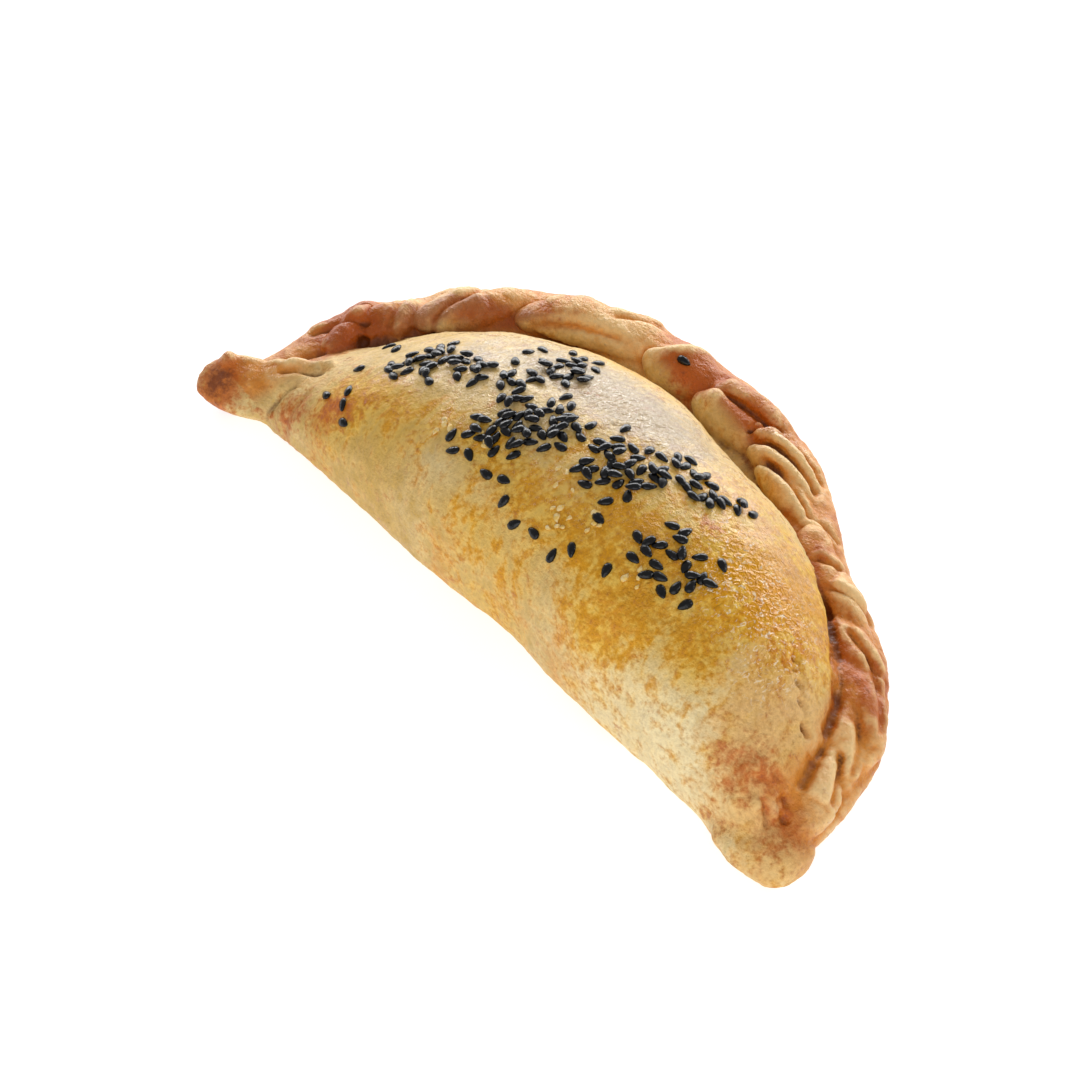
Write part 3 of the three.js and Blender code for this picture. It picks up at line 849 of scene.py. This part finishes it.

# %% [markdown]
# ## The crust's finish
# Plain dough bakes to a mottled cream. Egg wash turns it golden, in patches with soft edges. What
# stands proud browns. The rope's ridges get a painted highlight, and grooves a painted shade over
# dough that is browner there. On top, a painted greyer tone and pale painted glints go with the
# sheen. So the colour is built up in layers: dough first, then wash, spots, the painted sheen and
# glints, then the rope, then browning and the painted shade of the creases. The masks say where,
# and noises of several sizes break up every edge. In a sum, the numbers are the masks' weights, and
# step says at which sum a layer starts and is full.

# %% Name the colours
DOUGH_PALE = photo_colour(238, 219, 172)
DOUGH_STRAW = photo_colour(201, 162, 84)
BARE_TAN = photo_colour(226, 182, 114)
SPOT = photo_colour(178, 104, 42)
STRAW = photo_colour(230, 186, 80)
AMBER = photo_colour(214, 148, 8)
TOAST = photo_colour(190, 92, 16)
BURNT = photo_colour(122, 58, 26)
# Painted highlight on the rope's ridges
ROPE_PAINTED_HIGHLIGHT = photo_colour(242, 202, 140)
ROPE_TAN = photo_colour(216, 140, 54)
ROPE_BROWN = photo_colour(182, 92, 22)
# Painted shade on the rope's inner side
ROPE_PAINTED_SHADE = photo_colour(156, 66, 10)
# Painted shade in creases and grooves, over dough that is browner there
CREASE_BROWN_AND_SHADE = photo_colour(104, 50, 14)
DRIP = photo_colour(220, 142, 28)
# A painted greyer tone that stands in for the sheen on top, and pale painted glints on the dried wash
PAINTED_SHEEN_GREY = photo_colour(158, 137, 108)
PAINTED_GLINT = photo_colour(255, 242, 216)
print("colours named for the crust, dough first:", [round(part, 2) for part in DOUGH_PALE])

# %% Gather masks and noises
CRUST_MASKS = (
    "wash", "pale", "toast", "drip", "sheen", "film_and_glints", "gloss",
    "bare", "rope", "tone", "inner", "ridge", "hollow", "valley",
)
# Size in mm, detail, roughness, swirl and stretch
CRUST_NOISES = {
    "broad": (9.0, 5.0, 0.55, 0.6),
    "patch": (3.2, 5.0, 0.6, 0.4),
    "mottle": (1.4, 4.0, 0.65),
    "speck": (0.7, 3.0, 0.6),
    "stroke": (3.0, 4.0, 0.6, 0.5, (1.0, 0.35, 0.6)),
    "wrinkle": (0.9, 3.0, 0.6, 0.6),
    "streak": (0.8, 2.0, 0.6, 1.2, (1.0, 0.6, 0.7)),
    "film": (0.9, 1.0, 0.5, 0.8, (1.0, 0.7, 0.8)),
}


def crust_values(finish):
    values = {name: finish.attribute(name) for name in CRUST_MASKS}
    for name, row in CRUST_NOISES.items():
        values[name] = finish.noise(*row)
    # Share of the glassy film, which also sets the painted glints
    values["dry"] = values["film_and_glints"].step(0.0, 1.0)
    return SimpleNamespace(**values)


print("masks and noises:", len(CRUST_MASKS), len(CRUST_NOISES))


# %% Lay dough and wash, with painted sheen and glints
def dough_and_wash(finish, at):
    plain = 0.4 + at.pale * 0.6 + at.stroke * 0.4 + at.patch * 0.25 + at.mottle * 0.2
    dough = finish.mix(DOUGH_STRAW, DOUGH_PALE, plain.step(-0.1, 1.1))
    tanned = at.bare + at.patch * 0.4 + at.mottle * 0.3
    dough = finish.mix(dough, BARE_TAN, tanned.step(0.1, 0.9))
    deep = 0.2 + at.wash * 0.4 + at.stroke * 0.6 + at.patch * 0.4 + at.mottle * 0.7
    golden = finish.mix(STRAW, AMBER, deep.step(0.0, 1.0))
    washed = at.wash + at.broad * 0.25 + at.stroke * 0.5 + at.patch * 0.3 + at.mottle * 0.3
    colour = finish.mix(dough, golden, washed.step(-0.2, 1.0))
    dripped = at.drip + at.patch * 0.35 + at.mottle * 0.3
    return finish.mix(colour, DRIP, dripped.step(0.1, 1.1) * 0.8)


def spots_sheen_and_glints(finish, at, colour):
    spotted = at.bare * 0.4 + at.broad * 0.4 + at.patch * 0.6 + at.mottle * 0.25
    colour = finish.mix(colour, SPOT, spotted.step(-0.1, 1.6) * at.bare * 0.45)
    flecked = at.speck * 0.4 + at.mottle * 0.5 + at.patch * 0.4
    colour = finish.mix(colour, SPOT, flecked.step(-0.2, 1.3) * 0.22)
    # A painted greyer tone where the sheen lies on top
    painted_sheen = at.sheen + at.patch * 0.25 + at.mottle * 0.2
    colour = finish.mix(colour, PAINTED_SHEEN_GREY, painted_sheen.step(0.1, 1.0) * 0.8)
    # Pale painted glints on the glassy film
    painted_glints = at.streak + at.speck * 0.2
    return finish.mix(colour, PAINTED_GLINT, painted_glints.step(0.3, 0.6) * at.dry * 0.6)


print("the pocket's layers are ready")


# %% Bake the rope and brown the crust, with painted highlight and shade
def rope_colour(finish, at):
    tanned = 0.5 + at.tone * 0.7 + at.broad * 0.4 + at.patch * 0.4
    colour = finish.mix(ROPE_BROWN, ROPE_TAN, tanned.step(0.0, 1.0))
    # Ridges and the paler tone patches get a painted highlight
    painted_highlight = at.tone * 0.5 + at.ridge * 1.6 + at.hollow * 0.7 + at.mottle * 0.15 + at.patch * 0.3
    colour = finish.mix(colour, ROPE_PAINTED_HIGHLIGHT, painted_highlight.step(0.0, 1.2))
    # Painted shade on the rope's inner side
    shaded = at.inner + at.patch * 0.4 + at.mottle * 0.2
    return finish.mix(colour, ROPE_PAINTED_SHADE, shaded.step(0.2, 1.0) * 0.75)


def browned_and_shaded(finish, at, colour):
    toasted = at.toast + at.patch * 0.4 + at.mottle * 0.35
    colour = finish.mix(colour, TOAST, toasted.step(0.2, 1.0) * 0.85)
    burnt = at.toast + at.patch * 0.4 + at.mottle * 0.4
    colour = finish.mix(colour, BURNT, burnt.step(0.9, 1.6) * 0.8)
    # Painted shade in the grooves and creases, where the dough is also browner
    sunken_shade = at.valley * -0.5 + at.mottle * 0.1
    colour = finish.mix(colour, CREASE_BROWN_AND_SHADE, sunken_shade.step(0.5, 1.7) * (0.7 - at.bare * 0.5))
    creased_shade = at.hollow * -1.0 + at.mottle * 0.15
    colour = finish.mix(colour, CREASE_BROWN_AND_SHADE, creased_shade.step(0.2, 1.0) * (0.9 - at.bare * 0.4))
    return finish.scaled(colour, 1.02 - (at.speck * 0.1 + at.mottle * 0.08) * (1 - at.rope * 0.4))


print("the rope's layers and the browning are ready")

# %% [markdown]
# ## The gloss
# Wash that stayed thick shines, and plain dough is dull. Where the wash dried it is a smooth glassy
# film, which breaks a small light into glints; its pale flakes are painted glints in the colour. So
# the gloss mask lowers the roughness and adds a thin coat, and a bump of fine wrinkles gives way to
# a smooth film there.

# %% Gloss the crust
CRUST_BUMP = 0.6 * MM
CRUST_SHINE = 0.3
COAT_MOST = 0.35
COAT_ROUGHNESS = 0.25


def crust_finish():
    finish = Finish("baked_crust")
    at = crust_values(finish)
    colour = spots_sheen_and_glints(finish, at, dough_and_wash(finish, at))
    colour = finish.mix(colour, rope_colour(finish, at), at.rope)
    colour = browned_and_shaded(finish, at, colour)
    glaze = (at.gloss + at.broad * 0.3 + at.patch * 0.5 + at.mottle * 0.4).step(0.1, 1.0)
    rough = 0.56 - glaze * 0.36 - (at.rope * 0.2 + at.dry * 0.3) * (1 - glaze) - at.dry * 0.1
    fine = at.wrinkle * (0.08 + glaze * 0.1) + at.mottle * 0.07 + at.speck * 0.07
    relief = fine * (1 - at.dry * 0.7) + at.film * at.dry * 0.2 + at.patch * at.bare * 0.12
    bump_sockets = {"Strength": 1.0, "Distance": CRUST_BUMP, "Height": relief}
    bump = finish.node("ShaderNodeBump", {}, bump_sockets)
    finish.surface(
        Base_Color=colour, Roughness=rough, Specular_IOR_Level=CRUST_SHINE, Normal=bump,
        Coat_Weight=glaze * (1 - at.dry) * COAT_MOST, Coat_Roughness=COAT_ROUGHNESS,
    )
    return finish.material


def wear(piece, material):
    piece.data.materials.clear()
    piece.data.materials.append(material)


wear(crust, crust_finish())
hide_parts("empanada")
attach(crust, "root")
print("crust nodes:", len(crust.data.materials[0].node_tree.nodes))

# %% [markdown]
# ## The seeds
# Black sesame seeds are flat teardrops. One is modelled from a small sphere whose rings shrink
# towards the tip. They were sprinkled in drifts, so each seed is drawn around the middle of a
# drift by a counted draw, which gives the same seeds each time, and laid on the crust where a
# line from above meets it.

# %% Model one seed
SEED_LENGTH = 3.0
SEED_WIDTH = 1.75
SEED_THICKNESS = 1.0
SEED_TAPER = 0.3
SEED_AROUND = 8
SEED_RINGS = 6


def model_seed():
    bpy.ops.object.select_all(action="DESELECT")
    bpy.ops.mesh.primitive_uv_sphere_add(segments=SEED_AROUND, ring_count=SEED_RINGS, radius=0.5)
    seed = bpy.context.object
    seed.name = "seed_model"
    ball = points_of(seed)
    taper = 1 + SEED_TAPER * 2 * ball[:, 2]
    lying = (
        -ball[:, 2] * SEED_LENGTH,
        ball[:, 1] * SEED_WIDTH * taper,
        ball[:, 0] * SEED_THICKNESS * taper,
    )
    set_points(seed, np.stack(lying, axis=1) * MM)
    face_outwards(seed)
    return seed


seed_model = model_seed()
print("faces of a seed:", len(seed_model.data.polygons))

# %% Scatter the seeds
# Middle in plan, reach along and across, turn in degrees and count
CLUMPS = (
    (-40, 20, 2.4, 2.6, 35, 11), (-35, 23.5, 2.6, 4.0, 37, 16), (-29, 25.5, 2.2, 3.2, 40, 9),
    (-18.5, 38, 4.6, 4.0, 55, 24), (-17, 27, 2.4, 2.8, 45, 9), (-13, 22, 1.4, 1.6, 45, 4),
    (-7.5, 27, 2.6, 2.4, 50, 9), (-3, 24, 3.0, 2.6, 55, 16), (-8, 18, 2.4, 2.6, 45, 13),
    (-13.5, 15.5, 1.6, 2.0, 40, 5), (8.5, 22.3, 1.8, 2.4, 50, 10), (9, 28.5, 2.8, 2.0, 55, 8),
    (15.5, 27, 2.4, 2.4, 50, 14), (14, 36, 2.4, 2.0, 60, 4), (20.5, 33, 2.8, 2.4, 55, 9),
    (25.5, 34.5, 1.8, 1.6, 50, 4), (29, 37.5, 1.9, 1.4, 45, 5), (28.5, 20.5, 3.0, 1.8, 50, 5),
    (31, 16.5, 2.0, 1.6, 50, 5), (35, 21, 1.2, 1.6, 50, 3), (38, 17.5, 2.4, 1.8, 45, 7),
)
TRAILS = (
    (-44, 7.5, 5.0, 3.0, 30, 4), (-50, 14.5, 0.4, 0.4, 0, 1), (-10, 10, 7.0, 1.2, -5, 6),
    (15, 8.6, 7.0, 1.0, 10, 5), (17, 17, 4.0, 0.7, 90, 3), (27.5, 15, 1.0, 2.0, 40, 2),
    (3, 32, 2.4, 0.8, 55, 2), (38, 25, 0.4, 0.4, 0, 1), (-51, 24, 1.5, 0.6, 0, 2),
    (-15, 67, 0.1, 0.1, 0, 1),
)
CLUMP_SPACING = 1.6
TRAIL_SPACING = 3.2
SEED_REACH = 1.8
SEED_TRIES = 30
SEED_DRAW = 11
SEED_LIFT = 0.12
SEED_PILE = 0.4
PILE_REACH = 2.1
PILE_MOST = 2
DRAW_FACTOR = 1664525
DRAW_STEP = 1013904223
DRAW_RANGE = 2**32


def counted_draw(state):
    while True:
        state = (state * DRAW_FACTOR + DRAW_STEP) % DRAW_RANGE
        yield state / DRAW_RANGE


def scatter(rows, spacing, draw, placed):
    for x, y, along, across, turn, count in rows:
        cosine = math.cos(math.radians(turn))
        sine = math.sin(math.radians(turn))
        for number in range(count):
            for attempt in range(SEED_TRIES):
                far = min(SEED_REACH, math.sqrt(-2 * math.log(1 - next(draw))))
                way = 2 * math.pi * next(draw)
                yaw = 2 * math.pi * next(draw)
                long = far * math.cos(way) * along
                deep = far * math.sin(way) * across
                spot = (x + long * cosine - deep * sine, y + long * sine + deep * cosine)
                if all(math.dist(spot, other[:2]) > spacing for other in placed):
                    placed.append((*spot, yaw))
                    break


def pile_height(number, placed):
    spot = placed[number][:2]
    under = [other for other in placed[:number] if math.dist(other[:2], spot) < PILE_REACH]
    return SEED_LIFT + SEED_PILE * min(len(under), PILE_MOST)


def copies_of(model, name, frames):
    points = points_of(model)
    faces = [tuple(face.vertices) for face in model.data.polygons]
    all_points = []
    all_faces = []
    for number, (turned, middle) in enumerate(frames):
        all_points.append(points @ turned.T + middle)
        first = number * len(points)
        all_faces += [tuple(first + corner for corner in face) for face in faces]
    mesh = bpy.data.meshes.new(name)
    mesh.from_pydata(np.concatenate(all_points).tolist(), [], all_faces)
    piece = bpy.data.objects.new(name, mesh)
    bpy.context.scene.collection.objects.link(piece)
    choose(piece)
    bpy.ops.object.shade_smooth()
    return piece


def skin_tree(piece):
    return BVHTree.FromPolygons(
        points_of(piece).tolist(), [tuple(face.vertices) for face in piece.data.polygons]
    )


ABOVE = 100 * MM
crust_tree = skin_tree(crust)


def lie_on_crust(x, y, yaw, lift):
    above = Vector(((x - FOLD_MIDDLE[0]) * MM, (y - FOLD_MIDDLE[1]) * MM, ABOVE))
    spot, normal = crust_tree.ray_cast(above, Vector((0, 0, -1)))[:2]
    ahead = Vector((math.cos(yaw), math.sin(yaw), 0))
    ahead = (ahead - normal * ahead.dot(normal)).normalized()
    side = normal.cross(ahead)
    return np.array((ahead, side, normal)).T, np.array(spot + normal * lift * MM)


draw = counted_draw(SEED_DRAW)
seed_places = []
scatter(TRAILS, TRAIL_SPACING, draw, seed_places)
scatter(CLUMPS, CLUMP_SPACING, draw, seed_places)
seed_frames = [
    lie_on_crust(x, y, yaw, pile_height(number, seed_places))
    for number, (x, y, yaw) in enumerate(seed_places)
]
seeds = copies_of(seed_model, "sesame_seeds", seed_frames)
bpy.data.objects.remove(seed_model)
print("seeds:", len(seed_frames))

# %% Colour the seeds
SEED_BLACK = photo_colour(7, 7, 10)
SEED_GREY = photo_colour(17, 17, 22)
SEED_STREAK = (0.8, 3.0, 0.6)
SEED_BUMP = 0.1 * MM
SEED_BUMP_STRENGTH = 0.4
SEED_ROUGHNESS = 0.18
SEED_SHINE = 0.36


def seed_finish():
    finish = Finish("black_sesame")
    streak = finish.noise(*SEED_STREAK)
    colour = finish.mix(SEED_BLACK, SEED_GREY, streak.step(0.4, 0.75))
    bump_sockets = {"Strength": SEED_BUMP_STRENGTH, "Distance": SEED_BUMP, "Height": streak}
    bump = finish.node("ShaderNodeBump", {}, bump_sockets)
    rough = SEED_ROUGHNESS + streak * 0.08
    finish.surface(Base_Color=colour, Roughness=rough, Specular_IOR_Level=SEED_SHINE, Normal=bump)
    return finish.material


wear(seeds, seed_finish())
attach(seeds, "root")
print("seeds wear:", seeds.data.materials[0].name)

# %% [markdown]
# ## The crumbs
# A few pale flakes of crust broke off and stuck beside the seeds. A flake is small and has no
# rule, so it starts as an ico sphere with its points thrown about by a fixed draw and pressed
# flat. Copies of it lie in six small drifts, each turned and sized by the same counted draw.

# %% Scatter the crumbs
CRUMB_SIZE = (1.7, 1.1, 0.7)
CRUMB_UNEVENNESS = 0.26
CRUMB_DRAW = 5
CRUMB_SPLITS = 2
CRUMB_NOISE = (0.6, 3.0, 0.6)
CRUMB_ROUGHNESS = 0.55
CRUMB_SPACING = 0.9
CRUMB_SMALLEST = 0.5
CRUMB_LIFT = 0.2
# Middle in plan, reach along and across, turn in degrees and count
CRUMB_DRIFTS = (
    (11.6, 11.5, 1.2, 1.2, 0, 7), (7.5, 17.5, 2.0, 2.0, 0, 4), (-20.5, 12, 1.2, 1.2, 0, 4),
    (-12, 15.5, 1.8, 1.4, 0, 7), (17, 14.5, 1.0, 1.0, 0, 4), (30.5, 13.5, 1.4, 1.4, 0, 4),
)


def model_crumb():
    bpy.ops.object.select_all(action="DESELECT")
    bpy.ops.mesh.primitive_ico_sphere_add(subdivisions=CRUMB_SPLITS, radius=0.5)
    crumb = bpy.context.object
    crumb.name = "crumb_model"
    bpy.ops.object.mode_set(mode="EDIT")
    bpy.ops.mesh.select_all(action="SELECT")
    bpy.ops.transform.vertex_random(offset=CRUMB_UNEVENNESS, seed=CRUMB_DRAW)
    bpy.ops.object.mode_set(mode="OBJECT")
    set_points(crumb, points_of(crumb) * np.array(CRUMB_SIZE) * MM)
    face_outwards(crumb)
    return crumb


def crumb_finish():
    finish = Finish("pale_crumb")
    mottle = finish.noise(*CRUMB_NOISE)
    colour = finish.mix(STRAW, DOUGH_PALE, (0.4 + mottle * 0.5).step(0.0, 1.0))
    finish.surface(Base_Color=colour, Roughness=CRUMB_ROUGHNESS)
    return finish.material


crumb_model = model_crumb()
crumb_places = list(seed_places)
scatter(CRUMB_DRIFTS, CRUMB_SPACING, draw, crumb_places)
crumb_frames = []
for x, y, yaw in crumb_places[len(seed_places):]:
    turned, middle = lie_on_crust(x, y, yaw, CRUMB_LIFT)
    size = CRUMB_SMALLEST + (1 - CRUMB_SMALLEST) * next(draw)
    crumb_frames.append((turned * size, middle))
crumbs = copies_of(crumb_model, "crumbs", crumb_frames)
bpy.data.objects.remove(crumb_model)
wear(crumbs, crumb_finish())
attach(crumbs, "root")
print("crumbs:", len(crumb_frames))

# %% [markdown]
# ## Floor and light
# The photograph stands on plain white with hardly any shadow. A floor that glows and an evenly lit
# room give that. A low, wide window behind puts the sheen on the glaze, a large lamp in front fills
# the shadows, and a very small lamp makes the glints on the dried wash.

# %% Light the scene
FLOOR_HALF_SIZE = 2.0
FLOOR_GLOW = 0.76
FLOOR_WHITE = (0.95, 0.95, 0.95, 1.0)
FLOOR_GREY = (0.6, 0.6, 0.6, 1.0)
FLOOR_ROUGHNESS = 0.9
WORLD_STRENGTH = 0.39
LAMP_DISTANCE = 0.7
# Direction, width and height in metres, and watts
WINDOW = (Vector((-0.62, 0.76, 0.2)), 1.2, 0.24, 7.4)
FILL = (Vector((0.65, -0.7, 0.36)), 0.8, 0.8, 2.9)
GLINT = (Vector((0.55, 0.7, 0.45)), 0.05, 0.05, 0.6)


def lay_floor():
    bpy.ops.object.select_all(action="DESELECT")
    bpy.ops.mesh.primitive_plane_add(size=2 * FLOOR_HALF_SIZE, location=(0, 0, 0))
    floor = bpy.context.object
    floor.name = "floor"
    finish = Finish("white_floor")
    finish.surface(
        Base_Color=FLOOR_GREY, Roughness=FLOOR_ROUGHNESS,
        Emission_Color=FLOOR_WHITE, Emission_Strength=FLOOR_GLOW,
    )
    wear(floor, finish.material)
    return floor


def add_lamp(name, direction, width, height, power):
    data = bpy.data.lights.new(name, "AREA")
    data.shape = "RECTANGLE"
    data.size = width
    data.size_y = height
    data.energy = power
    lamp = bpy.data.objects.new(name, data)
    bpy.context.scene.collection.objects.link(lamp)
    lamp.location = CAMERA_AIM + direction.normalized() * LAMP_DISTANCE
    lamp.rotation_euler = direction.to_track_quat("Z", "Y").to_euler()
    return lamp


lay_floor()
add_lamp("window", *WINDOW)
add_lamp("fill", *FILL)
add_lamp("glint", *GLINT)
world = bpy.data.worlds.new("soft_room")
world.use_nodes = True
background = world.node_tree.nodes["Background"]
background.inputs["Color"].default_value = (1, 1, 1, 1)
background.inputs["Strength"].default_value = WORLD_STRENGTH
bpy.context.scene.world = world
bpy.context.scene.view_settings.view_transform = "Standard"
print("lamps, watts:", WINDOW[-1], FILL[-1], GLINT[-1])
